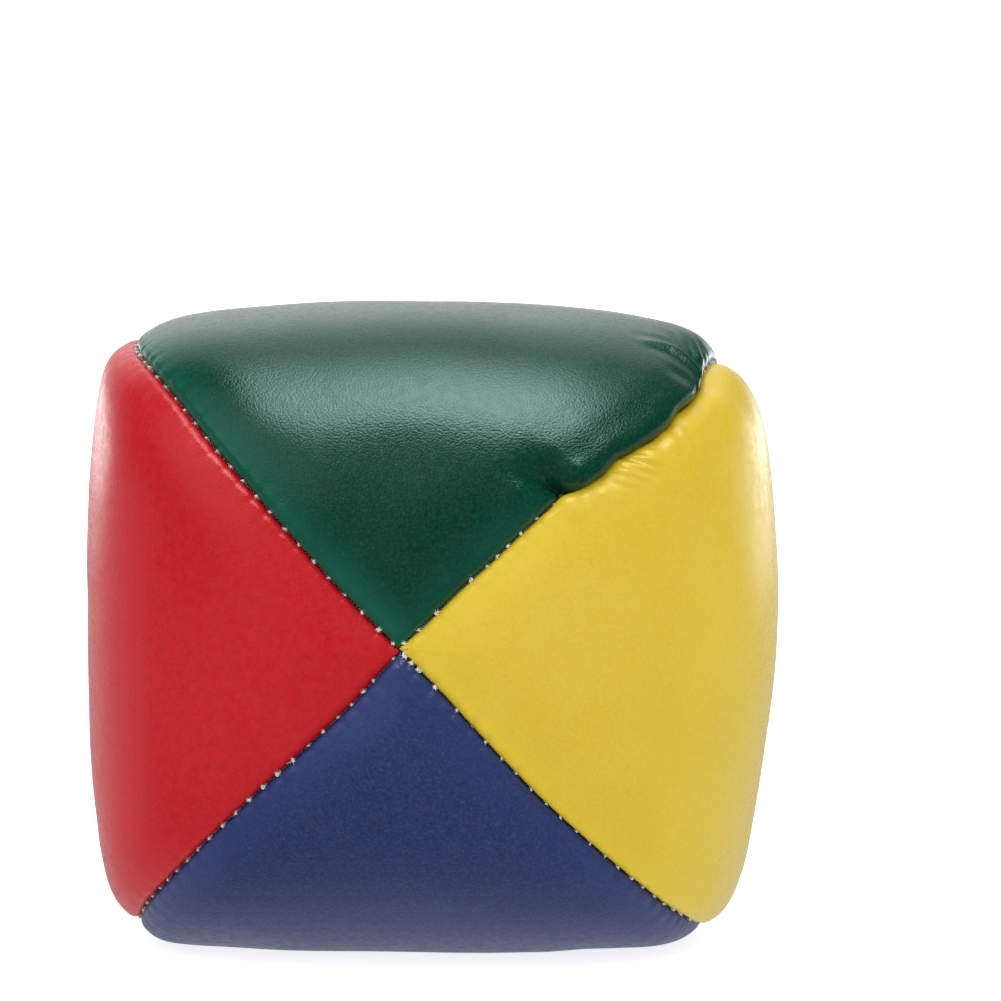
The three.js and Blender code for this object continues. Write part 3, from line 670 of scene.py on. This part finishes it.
def fibres(k, l, depth, size, rng, n):
    """loose fibre ends that stand out of a stitch"""
    p, up, sd, tn = [a[0] for a in seam_frame(k, np.array([l]))]
    out = []
    for _ in range(n):
        a = rng.uniform(0, 2 * math.pi)
        lean = rng.uniform(0.4, 1.5)
        d0 = up * rng.uniform(0.3, 0.9) + (tn * math.cos(a) + sd * math.sin(a)) * lean
        d0 /= np.linalg.norm(d0)
        side = np.cross(d0, rng.standard_normal(3))
        side /= np.linalg.norm(side)
        start = p - up * depth + (tn * rng.uniform(-1, 1) + sd * rng.uniform(-0.6, 0.6)) * 0.12 * size
        length = rng.uniform(0.14, 0.34) * (0.6 + 0.5 * size)
        t = np.linspace(0, 1, 6)[:, None]
        curl = rng.uniform(-0.20, 0.20)
        path = start + d0 * length * t + side * curl * t * t
        out.append(tube(path, np.linspace(0.022, 0.010, 6) * rng.uniform(0.8, 1.2), 4))
    return out


def stitch_thread(k, l0, l1, seed, hidden=False):
    """a two-ply thread deep in the seam, coming up into the groove at each stitch"""
    S = SEAMS[k]
    rng = np.random.default_rng(seed)
    st = [a for a in S["stitch"] if l0 - 0.2 < a[0] < l1 + 0.2]
    ls = np.arange(l0, l1, 0.075)
    p, up, sd, tn = seam_frame(k, ls)
    rise = np.zeros(len(ls))
    jog = np.zeros(len(ls))
    for li, size in st:
        if size <= 0:
            continue
        rise = np.maximum(rise, min(0.30 + 0.42 * size, 0.78) * bump(ls - li, 0.20))
        jog += rng.uniform(-0.05, 0.05) * size * bump(ls - li, 0.25)
    depth = 1.42 - rise + 0.04 * noise1(ls, 1.3, seed + 3)
    if k == 0:                        # under the lip the machine seam lies deep
        depth = depth + 0.75 * sstep((ls - 28) / 4) * sstep((48 - ls) / 3)
    if hidden:
        depth = 1.40 + 0.05 * noise1(ls, 1.3, seed + 3)
    centre = p - up * depth[:, None] + sd * jog[:, None]
    parts = []
    ph = ls * 2 * math.pi / 0.85
    for ply in (0, math.pi):
        path = centre + (up * np.cos(ph + ply)[:, None] + sd * 0.6 * np.sin(ph + ply)[:, None]) * 0.065
        parts.append(tube(path, 0.082 * (1 + 0.10 * noise1(ls, 0.3, seed + 5)), 8))
    if not hidden:
        for li, size in st:
            if size <= 0.3:
                continue
            # each stitch lies across the groove, its plies opened a little
            m = int(round(1 + 2.6 * size))
            q, u, s_, t_ = [a[0] for a in seam_frame(k, np.array([li]))]
            lump = rng.uniform(-0.05, 0.05)
            for i in range(m):
                a = rng.uniform(-0.7, 0.7)
                across = s_ * math.cos(a) + t_ * math.sin(a)
                half = (0.10 + 0.10 * size) * rng.uniform(0.7, 1.15)
                x = np.linspace(-1, 1, 9)
                dep = 0.66 - 0.26 * size + rng.uniform(-0.06, 0.08) + lump
                off = t_ * (rng.uniform(-0.13, 0.13) * size) + s_ * rng.uniform(-0.04, 0.04)
                path = q + off + across * (half * x)[:, None] - u * (dep + 0.30 * np.abs(x) ** 2.4)[:, None]
                path = path + t_ * (0.05 * np.sin(x * 2.4 + a * 5))[:, None]
                parts.append(tube(path, 0.066 * (1 - 0.30 * x * x) * rng.uniform(0.8, 1.25), 6))
            parts += fibres(k, li, 0.66 - 0.24 * size, size, rng, int(2 + 4 * size))
    return join(parts)

# ------------------------------------------------------------------ node helpers
def new_mat(name):
    m = bpy.data.materials.new(name)
    m.use_nodes = True
    nt = m.node_tree
    nt.nodes.clear()
    out = nt.nodes.new("ShaderNodeOutputMaterial")
    bs = nt.nodes.new("ShaderNodeBsdfPrincipled")
    nt.links.new(bs.outputs[0], out.inputs[0])
    return m, nt, bs


def node(nt, kind, **vals):
    n = nt.nodes.new(kind)
    for key, v in vals.items():
        if key in n.inputs.keys():
            n.inputs[key].default_value = v
        else:
            setattr(n, key, v)
    return n


def math_node(nt, op, a, b=None, clamp=False):
    n = nt.nodes.new("ShaderNodeMath")
    n.operation = op
    n.use_clamp = clamp
    for i, v in enumerate((a, b)):
        if v is None:
            continue
        if isinstance(v, (int, float)):
            n.inputs[i].default_value = v
        else:
            nt.links.new(v, n.inputs[i])
    return n.outputs[0]


def mix_rgb(nt, fac, a, b, mode="MIX"):
    n = nt.nodes.new("ShaderNodeMix")
    n.data_type = "RGBA"
    n.blend_type = mode
    for sock, v in ((n.inputs[0], fac), (n.inputs[6], a), (n.inputs[7], b)):
        if isinstance(v, (int, float)):
            sock.default_value = v
        elif isinstance(v, tuple):
            sock.default_value = v + (1.0,) if len(v) == 3 else v
        else:
            nt.links.new(v, sock)
    return n.outputs[2]


def ramp(nt, src, lo, hi, a=0.0, b=1.0):
    n = nt.nodes.new("ShaderNodeMapRange")
    n.interpolation_type = "SMOOTHSTEP"
    n.clamp = True
    n.inputs[1].default_value = lo
    n.inputs[2].default_value = hi
    n.inputs[3].default_value = a
    n.inputs[4].default_value = b
    nt.links.new(src, n.inputs[0])
    return n.outputs[0]


def leather(name, colour, pale, deep, rough=0.40, grain=1.0, coat=0.0, seed=0.0, spec=0.5, cell=3400.0, cracks=0.30, tint=(1.0, 1.0, 1.0), seam_sheen_colour=None, fleck=0.35):
    """soft polyurethane leatherette: fine pebble grain, satin film, slight unevenness"""
    m, nt, bs = new_mat(name)
    tc = nt.nodes.new("ShaderNodeTexCoord")
    mp = node(nt, "ShaderNodeMapping")
    mp.inputs["Location"].default_value = (seed, seed * 0.37, -seed * 0.71)
    nt.links.new(tc.outputs["Object"], mp.inputs[0])
    co = mp.outputs[0]

    def noise(scale, detail=2.0, rough_=0.5, dist=0.0):
        n = node(nt, "ShaderNodeTexNoise", Scale=scale, Detail=detail, Roughness=rough_, Distortion=dist)
        nt.links.new(co, n.inputs["Vector"])
        return n.outputs[0]

    def cells(scale, feature="F1", smooth=None):
        v = node(nt, "ShaderNodeTexVoronoi", Scale=scale)
        v.feature = feature
        nt.links.new(co, v.inputs["Vector"])
        return v.outputs["Distance"]

    pebble = cells(cell)
    crack = cells(cell, "DISTANCE_TO_EDGE")
    fine = noise(5200.0, 1.0)
    mid = noise(1250.0, 2.0)
    broad = noise(85.0, 3.0, 0.55)
    wide = noise(24.0, 2.0)
    # colour: pigment film varies a little; painted shade darkens the hollows of the grain, and painted highlight makes
    # its high spots paler
    c1 = mix_rgb(nt, ramp(nt, broad, 0.32, 0.70, 0.0, 0.35), colour, pale)
    c2 = mix_rgb(nt, ramp(nt, wide, 0.30, 0.62, 0.30, 0.0), c1, deep)
    hollow = ramp(nt, crack, 0.0, 0.16, 1.0, 0.0)
    # painted shade in the grain's hollows, the same places the relief below sinks
    c3 = mix_rgb(nt, math_node(nt, "MULTIPLY", hollow, 0.42 * grain), c2, deep)
    # painted highlight on the grain's high spots: the fine noise that raises the relief also mixes in the pale colour
    c3 = mix_rgb(nt, ramp(nt, fine, 0.56, 0.72, 0.0, 0.45 * grain + 0.1), c3, pale)
    speck = noise(3700.0, 1.5, 0.6)                   # the print on the film: small pale and dark flecks
    c3 = mix_rgb(nt, ramp(nt, speck, 0.52, 0.70, 0.0, fleck), c3, pale)
    c3 = mix_rgb(nt, ramp(nt, speck, 0.48, 0.32, 0.0, fleck), c3, deep)
    if seam_sheen_colour:                                         # highlight painted along the seams, where the skin rounds down into the groove
        at = node(nt, "ShaderNodeAttribute", attribute_name="seam_sheen_weight")
        c3 = mix_rgb(nt, math_node(nt, "MULTIPLY", at.outputs["Fac"], ramp(nt, broad, 0.25, 0.60, 0.55, 1.0)), c3, seam_sheen_colour)
    nt.links.new(c3, bs.inputs["Base Color"])
    # gloss: hollows are duller, and the film varies
    r = math_node(nt, "ADD", ramp(nt, mid, 0.3, 0.7, rough - 0.05, rough + 0.05), math_node(nt, "MULTIPLY", hollow, 0.10))
    r = math_node(nt, "ADD", r, ramp(nt, broad, 0.3, 0.7, -0.03, 0.03))
    nt.links.new(r, bs.inputs["Roughness"])
    bs.inputs["Specular IOR Level"].default_value = spec
    bs.inputs["Coat Weight"].default_value = coat
    bs.inputs["Coat Roughness"].default_value = 0.30
    bs.inputs["Specular Tint"].default_value = tint + (1.0,)
    # relief
    h = math_node(nt, "MULTIPLY", math_node(nt, "SUBTRACT", 1.0, pebble), 0.55)
    h = math_node(nt, "SUBTRACT", h, math_node(nt, "MULTIPLY", hollow, cracks))
    h = math_node(nt, "ADD", h, math_node(nt, "MULTIPLY", fine, 0.42))
    h = math_node(nt, "ADD", h, math_node(nt, "MULTIPLY", mid, 0.16))
    b = node(nt, "ShaderNodeBump", Strength=0.55, Distance=0.000045 * grain)
    nt.links.new(h, b.inputs["Height"])
    b2 = node(nt, "ShaderNodeBump", Strength=0.4, Distance=0.00007)
    nt.links.new(broad, b2.inputs["Height"])
    nt.links.new(b.outputs[0], b2.inputs["Normal"])
    nt.links.new(b2.outputs[0], bs.inputs["Normal"])
    return m


def thread_mat(name, colour, shade):
    m, nt, bs = new_mat(name)
    tc = nt.nodes.new("ShaderNodeTexCoord")
    n = node(nt, "ShaderNodeTexNoise", Scale=9000.0, Detail=3.0)
    nt.links.new(tc.outputs["Object"], n.inputs["Vector"])
    w = node(nt, "ShaderNodeTexNoise", Scale=420.0, Detail=2.0)
    nt.links.new(tc.outputs["Object"], w.inputs["Vector"])
    c = mix_rgb(nt, ramp(nt, n.outputs[0], 0.35, 0.65, 0.0, 0.5), colour, shade)
    c = mix_rgb(nt, ramp(nt, w.outputs[0], 0.4, 0.7, 0.0, 0.35), c, shade)
    nt.links.new(c, bs.inputs["Base Color"])
    nt.links.new(ramp(nt, n.outputs[0], 0.3, 0.7, 0.6, 0.85), bs.inputs["Roughness"])
    bs.inputs["Sheen Weight"].default_value = 0.25
    bs.inputs["Sheen Roughness"].default_value = 0.4
    b = node(nt, "ShaderNodeBump", Strength=0.6, Distance=0.00003)
    nt.links.new(n.outputs[0], b.inputs["Height"])
    nt.links.new(b.outputs[0], bs.inputs["Normal"])
    return m


def srgb(r, g, b):
    return tuple(((c / 255) / 12.92 if c / 255 <= 0.04045 else ((c / 255 + 0.055) / 1.055) ** 2.4) for c in (r, g, b))


# where a panel has a seam colour, it is a paler colour painted along its seams as a highlight; red has none
LEATHERS = {
    "yellow": leather("leatherette_yellow_look", (0.725, 0.520, 0.026), (0.78, 0.58, 0.060), (0.60, 0.40, 0.012), rough=0.29, spec=0.4, grain=0.24, seed=0.11, seam_sheen_colour=(0.80, 0.60, 0.032), fleck=0.25),
    "green": leather("leatherette_green_look", (0.0023, 0.0425, 0.0238), (0.0058, 0.070, 0.041), (0.0010, 0.026, 0.0150), rough=0.155, grain=0.85, fleck=0.65, seed=0.23, cell=4000.0, cracks=0.12, tint=(0.66, 1.0, 0.96), seam_sheen_colour=(0.006, 0.106, 0.066)),
    "red": leather("leatherette_red_look", (0.555, 0.0055, 0.0118), (0.61, 0.012, 0.020), (0.41, 0.003, 0.0068), rough=0.27, spec=0.4, grain=0.40, seed=0.37, fleck=0.3),
    "blue": leather("leatherette_blue_look", (0.0155, 0.0325, 0.142), (0.029, 0.054, 0.200), (0.010, 0.020, 0.092), rough=0.35, grain=0.7, seed=0.53, seam_sheen_colour=(0.026, 0.047, 0.185), fleck=0.65),
}
WHITE_THREAD = thread_mat("thread_white_look", (0.86, 0.85, 0.80), (0.66, 0.65, 0.60))
CLOSE_THREAD = thread_mat("thread_closing_look", (0.010, 0.085, 0.050), (0.004, 0.045, 0.028))


def granule_mat():
    m, nt, bs = new_mat("granules_look")
    tc = nt.nodes.new("ShaderNodeTexCoord")
    v = node(nt, "ShaderNodeTexVoronoi", Scale=420.0)
    nt.links.new(tc.outputs["Object"], v.inputs["Vector"])
    sep = nt.nodes.new("ShaderNodeSeparateColor")
    nt.links.new(v.outputs["Color"], sep.inputs[0])
    c = mix_rgb(nt, sep.outputs[0], (0.62, 0.50, 0.26), (0.74, 0.66, 0.42))
    # painted shade: darker towards each granule's edge, in the gaps between granules where the relief sinks
    c = mix_rgb(nt, ramp(nt, v.outputs["Distance"], 0.35, 0.7, 0.0, 0.8), c, (0.16, 0.11, 0.05))
    nt.links.new(c, bs.inputs["Base Color"])
    bs.inputs["Roughness"].default_value = 0.5
    b = node(nt, "ShaderNodeBump", Strength=1.0, Distance=0.0012)
    b.invert = True
    nt.links.new(v.outputs["Distance"], b.inputs["Height"])
    nt.links.new(b.outputs[0], bs.inputs["Normal"])
    return m


# ------------------------------------------------------------------ make the ball
PIECES = {}
for k, colour in enumerate(PANELS):
    ob = make_mesh(colour + "_leather_panel", *build_panel(k))
    ob.data.materials.append(LEATHERS[colour])
    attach(ob, "root")
    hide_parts(colour + "_panel")
    PIECES[colour] = ob

TOTAL = SEAMS[0]["total"]
for name, k, l0, l1, seed, mat, slot, node_name, hidden in (
        ("red_green_seam_thread", 1, 0.75, SEAMS[1]["total"] - 0.75, 101, WHITE_THREAD, "thread_white", "red_green_thread", False),
        ("red_blue_seam_thread", 2, 0.75, SEAMS[2]["total"] - 0.75, 102, WHITE_THREAD, "thread_white", "red_blue_thread", False),
        ("blue_yellow_seam_thread", 3, 0.45, SEAMS[3]["total"] - 0.75, 103, WHITE_THREAD, "thread_white", "blue_yellow_thread", False),
        ("green_yellow_seam_thread_front", 0, 0.75, 19.6, 104, WHITE_THREAD, "thread_white", "green_yellow_thread_front", False),
        ("green_yellow_hand_closing_thread", 0, 20.0, 31.6, 105, CLOSE_THREAD, "thread_closing", "green_yellow_closing_thread", True),
        ("green_yellow_seam_thread_back", 0, 32.0, TOTAL - 0.75, 106, WHITE_THREAD, "thread_white", "green_yellow_thread_back", False)):
    ob = make_mesh(name, *stitch_thread(k, l0, l1, seed, hidden))
    ob.data.materials.append(mat)
    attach(ob, "root")
    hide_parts(node_name)

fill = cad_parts["granule_fill"]
fill.data.materials.clear()
fill.data.materials.append(granule_mat())

# ------------------------------------------------------------------ stage
KEY = 0.6                             # radiance of the overhead box
TENT = (0.004, 0.86, 0.12, 0.75, 0.12)
GLOW = 7.9                            # the bright roof of the tent, as the gloss sees it
SKY = (0.62, 1.44, 0.13)
FLOOR_GLOSS, FLOOR_FILL = (0.10, 0.62), 0.93


def disc(radius, z, rings):
    rr = np.concatenate([[0.0], np.geomspace(20, radius, rings)])
    n = 96
    a = np.arange(n) / n * 2 * math.pi
    vs = [np.array([[0, 0, z]])]
    for r in rr[1:]:
        vs.append(np.stack([np.cos(a) * r, np.sin(a) * r, np.full(n, z)], -1))
    verts = np.vstack(vs)
    i = np.arange(n)
    tris = np.stack([np.zeros(n, int), 1 + i, 1 + (i + 1) % n], -1)
    quads = []
    for j in range(len(rr) - 2):
        b0, b1 = 1 + j * n, 1 + (j + 1) * n
        quads.append(np.stack([b0 + i, b1 + i, b1 + (i + 1) % n, b0 + (i + 1) % n], -1))
    return verts, np.vstack(quads), tris


floor = make_mesh("floor", *disc(6000, 0.0, 26))
fm, nt, bs = new_mat("floor_acrylic")               # a lit white acrylic table, so the shadow under the ball stays faint
bs.inputs["Base Color"].default_value = (0.52, 0.52, 0.52, 1)
bs.inputs["Roughness"].default_value = 0.9
bs.inputs["Specular IOR Level"].default_value = 0.1
lp = nt.nodes.new("ShaderNodeLightPath")
grain_n = node(nt, "ShaderNodeTexNoise", Scale=60.0, Detail=2.0)
tc = nt.nodes.new("ShaderNodeTexCoord")
nt.links.new(tc.outputs["Object"], grain_n.inputs["Vector"])
ln = node(nt, "ShaderNodeVectorMath", operation="LENGTH")
nt.links.new(tc.outputs["Object"], ln.inputs[0])
far = ramp(nt, ln.outputs["Value"], 0.05, 0.40, 0.0, 1.0)
em = node(nt, "ShaderNodeEmission")
em.inputs[0].default_value = (1, 1, 1, 1)
fsep = nt.nodes.new("ShaderNodeSeparateXYZ")
nt.links.new(tc.outputs["Object"], fsep.inputs[0])
g1 = math_node(nt, "MULTIPLY", lp.outputs["Is Glossy Ray"], ramp(nt, fsep.outputs["Y"], -0.036, -0.014, FLOOR_GLOSS[0], FLOOR_GLOSS[1]))
g2 = math_node(nt, "MULTIPLY", lp.outputs["Is Diffuse Ray"], FLOOR_FILL)
g3 = math_node(nt, "MULTIPLY", lp.outputs["Is Camera Ray"], math_node(nt, "ADD", 0.82, math_node(nt, "MULTIPLY", far, 0.40)))
nt.links.new(math_node(nt, "ADD", math_node(nt, "ADD", g1, g2), g3), em.inputs[1])
ad = nt.nodes.new("ShaderNodeAddShader")
nt.links.new(bs.outputs[0], ad.inputs[0])
nt.links.new(em.outputs[0], ad.inputs[1])
# rays that are not the camera's see only the glow: even for diffuse rays, while gloss sees it dim in front of the ball
# and brighter under and behind it
mx = nt.nodes.new("ShaderNodeMixShader")
nt.links.new(lp.outputs["Is Camera Ray"], mx.inputs[0])
nt.links.new(em.outputs[0], mx.inputs[1])
nt.links.new(ad.outputs[0], mx.inputs[2])
nt.links.new(mx.outputs[0], nt.nodes["Material Output"].inputs[0])
fm.cycles.emission_sampling = "NONE"
floor.data.materials.append(fm)

world = bpy.data.worlds.new("studio")
world.use_nodes = True
world.cycles.sampling_method = "NONE"
bpy.context.scene.world = world
nt = world.node_tree
nt.nodes.clear()
out = nt.nodes.new("ShaderNodeOutputWorld")
lp = nt.nodes.new("ShaderNodeLightPath")
geo = nt.nodes.new("ShaderNodeTexCoord")
sep = nt.nodes.new("ShaderNodeSeparateXYZ")
nt.links.new(geo.outputs["Generated"], sep.inputs[0])


def toward(vec, lo, hi, amount):
    """a soft patch of the tent around a direction"""
    d = node(nt, "ShaderNodeVectorMath", operation="DOT_PRODUCT")
    nt.links.new(geo.outputs["Generated"], d.inputs[0])
    v = Vector(vec).normalized()
    d.inputs[1].default_value = v
    return ramp(nt, d.outputs["Value"], lo, hi, 0.0, amount)


def total(parts):
    r = parts[0]
    for p in parts[1:]:
        r = math_node(nt, "ADD", r, p)
    return r


# the roof glows from a little in front of the ball to well behind it, and fades to both sides
tilt = math_node(nt, "ARCTAN2", sep.outputs["Z"], math_node(nt, "MULTIPLY", sep.outputs["Y"], -1.0))
roof = math_node(nt, "MULTIPLY", ramp(nt, tilt, 0.90, 1.12), ramp(nt, tilt, 1.25, 1.98, 1.0, 0.0))
roof = math_node(nt, "MULTIPLY", roof, ramp(nt, sep.outputs["X"], 0.10, 0.46, 1.0, 0.0))
roof = math_node(nt, "MULTIPLY", roof, ramp(nt, sep.outputs["X"], -0.42, -0.12))
wall = ramp(nt, sep.outputs["Y"], 0.15, 0.88, TENT[0], TENT[1])
gap = math_node(nt, "MULTIPLY", ramp(nt, sep.outputs["X"], -0.12, 0.30, 0.0, 0.80), math_node(nt, "MULTIPLY", ramp(nt, sep.outputs["Z"], 0.03, 0.27), ramp(nt, sep.outputs["Z"], 0.36, 0.60, 1.0, 0.30)))
seen = total([                                       # what the gloss reflects: white tent, dark towards the camera
    math_node(nt, "MULTIPLY", roof, GLOW),
    math_node(nt, "MULTIPLY", wall, math_node(nt, "SUBTRACT", 1.0, gap)),
    toward((-0.18, 0.60, 0.78), 0.78, 0.975, 0.60),
    math_node(nt, "MULTIPLY", toward((-0.60, 0.80, -0.05), 0.95, 0.998, 5.6), ramp(nt, sep.outputs["Z"], -0.02, 0.12, 1.0, 0.08)),
    math_node(nt, "MULTIPLY", toward((0.48, 0.875, -0.05), 0.90, 0.99, 3.6), ramp(nt, sep.outputs["Z"], 0.02, 0.15, 1.0, 0.0)),
    toward((-0.97, 0.25, 0.0), 0.88, 0.995, TENT[2]),
    toward((-0.50, -0.62, 0.60), 0.80, 0.985, TENT[3]),
    toward((-0.30, -0.95, -0.05), 0.93, 0.995, TENT[4]),
])
fill = ramp(nt, sep.outputs["Z"], -0.1, 1.0, SKY[0], SKY[1])
side = toward((-0.4, -1, 0.2), -0.2, 1.0, SKY[2])
bg_seen, bg_fill, bg_cam = [nt.nodes.new("ShaderNodeBackground") for _ in range(3)]
nt.links.new(seen, bg_seen.inputs[1])
nt.links.new(math_node(nt, "ADD", fill, side), bg_fill.inputs[1])
for b in (bg_seen, bg_fill, bg_cam):
    b.inputs[0].default_value = (1, 1, 1, 1)
bg_cam.inputs[1].default_value = 1.0
m1, m2 = nt.nodes.new("ShaderNodeMixShader"), nt.nodes.new("ShaderNodeMixShader")
nt.links.new(lp.outputs["Is Glossy Ray"], m1.inputs[0])
nt.links.new(bg_fill.outputs[0], m1.inputs[1])
nt.links.new(bg_seen.outputs[0], m1.inputs[2])
nt.links.new(lp.outputs["Is Camera Ray"], m2.inputs[0])
nt.links.new(m1.outputs[0], m2.inputs[1])
nt.links.new(bg_cam.outputs[0], m2.inputs[2])
nt.links.new(m2.outputs[0], out.inputs[0])

CENTRE = Vector((SHIFT * 0.001).tolist())


def softbox(name, at, size_x, size_y, radiance, aim=None):
    li = bpy.data.lights.new(name, "AREA")
    li.shape = "RECTANGLE"
    li.size, li.size_y = size_x, size_y
    li.energy = radiance * math.pi * size_x * size_y
    ob = bpy.data.objects.new(name, li)
    bpy.context.scene.collection.objects.link(ob)
    ob.location = at
    ob.rotation_euler = ((aim or CENTRE) - Vector(at)).to_track_quat("-Z", "Y").to_euler()
    return ob


key = softbox("key_overhead", (-0.05, -0.115, 0.45), 0.34, 0.20, KEY)
key.visible_glossy = False                           # the roof of the tent is what shows in the gloss

# ------------------------------------------------------------------ camera
az, el = math.radians(6.337), math.radians(4.537)
back = Vector((math.sin(az) * math.cos(el), -math.cos(az) * math.cos(el), math.sin(el)))
right = Vector((math.cos(az), math.sin(az), 0))
up = back.cross(right)
cam_d = bpy.data.cameras.new("camera")
cam_d.sensor_width = 36
cam_d.lens = 36 * 4995 / 1001
cam_d.clip_start, cam_d.clip_end = 0.01, 50
cam = bpy.data.objects.new("camera", cam_d)
bpy.context.scene.collection.objects.link(cam)
cam.location = CENTRE + back * 0.47025
look = (-back + 0.01329 * right + 0.02547 * up).normalized()
z = -look
x = up.cross(z).normalized()
y = z.cross(x)
cam.rotation_euler = Matrix((x, y, z)).transposed().to_euler()
bpy.context.scene.camera = cam
bpy.context.scene.view_settings.view_transform = "Standard"
